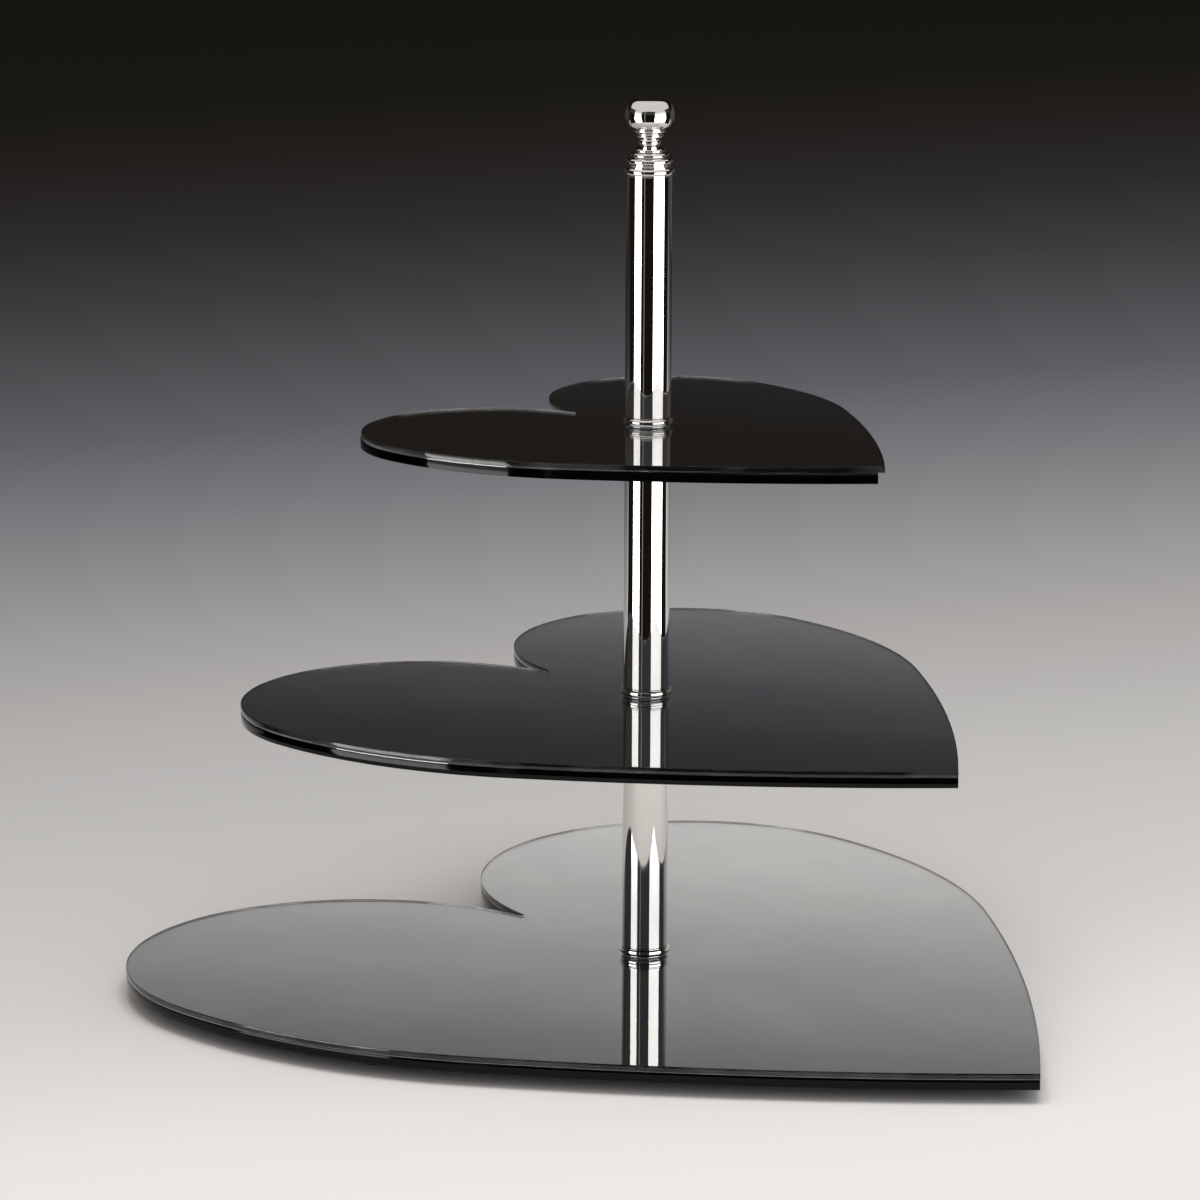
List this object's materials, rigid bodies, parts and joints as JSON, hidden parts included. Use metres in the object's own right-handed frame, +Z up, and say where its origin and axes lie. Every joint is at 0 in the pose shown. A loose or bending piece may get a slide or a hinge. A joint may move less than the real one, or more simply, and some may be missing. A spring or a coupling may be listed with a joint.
{
  "type": "tiered cake stand",
  "caption": "Tiered cake stand: heart-shaped mirror trays on black backing sheets, which swivel on a screw-together chrome pole with bead collars and a ball finial.",
  "frame": {"origin": "on the table, under the middle of the base tray's outline", "axes": "+Z up along the pole; -Y towards the hearts' tips; the pole and the base heart's centre line lie in the plane X = 0"},
  "size_m": [0.4572, 0.4632, 0.4417],
  "materials": {
    "mirror_acrylic": "polished",
    "black_acrylic": "polished",
    "chrome_plate": "polished",
    "zinc_steel": "satin",
    "clear_vinyl": "satin",
    "black_rubber": "matte"
  },
  "bodies": {
    "base_and_pole": {"base_mirror_sheet": "mirror_acrylic", "base_backing_sheet": "black_acrylic", "base_tray_upper_washer": "clear_vinyl", "base_tray_upper_collar": "chrome_plate", "middle_tray_upper_collar": "chrome_plate", "top_tray_upper_collar": "chrome_plate", "middle_tray_lower_collar": "chrome_plate", "middle_tray_stud": "zinc_steel", "top_tray_lower_collar": "chrome_plate", "top_tray_stud": "zinc_steel", "lower_tube": "chrome_plate", "lower_tube_lower_plug": "zinc_steel", "lower_tube_upper_plug": "zinc_steel", "middle_tube": "chrome_plate", "middle_tube_lower_plug": "zinc_steel", "middle_tube_upper_plug": "zinc_steel", "upper_tube": "chrome_plate", "upper_tube_lower_plug": "zinc_steel", "upper_tube_upper_plug": "zinc_steel", "base_screw": "zinc_steel", "base_screw_washer": "zinc_steel", "foot_tip": "black_rubber", "foot_left_side": "black_rubber", "foot_right_side": "black_rubber", "foot_left_lobe": "black_rubber", "foot_right_lobe": "black_rubber"},
    "middle_tray": {"middle_mirror_sheet": "mirror_acrylic", "middle_backing_sheet": "black_acrylic", "middle_tray_upper_washer": "clear_vinyl", "middle_tray_lower_washer": "clear_vinyl"},
    "top_tray": {"top_mirror_sheet": "mirror_acrylic", "top_backing_sheet": "black_acrylic", "top_tray_upper_washer": "clear_vinyl", "top_tray_lower_washer": "clear_vinyl"},
    "finial_seat": {"finial_collar": "chrome_plate"},
    "finial_knob": {"finial": "chrome_plate", "finial_stud": "zinc_steel"}
  },
  "joints": [
    {"name": "middle_tray_swivel", "type": "hinge", "parent": "base_and_pole", "child": "middle_tray", "pos_m": [0, 0.03381, 0.139], "axis": [0, 0, 1], "continuous": true},
    {"name": "top_tray_swivel", "type": "hinge", "parent": "base_and_pole", "child": "top_tray", "pos_m": [0, 0.03381, 0.2742], "axis": [0, 0, 1], "continuous": true},
    {"name": "finial_lift", "type": "slide", "parent": "base_and_pole", "child": "finial_seat", "axis": [0, 0, 1], "range_m": [0, 0.01]},
    {"name": "finial_turn", "type": "hinge", "parent": "finial_seat", "child": "finial_knob", "pos_m": [0, 0.03381, 0.409], "axis": [0, 0, 1], "range_deg": [0, 2881]}
  ],
  "couplings": [
    {"joint": "finial_turn", "follows": "finial_lift", "rad_per_m": 5026.5}
  ]
}
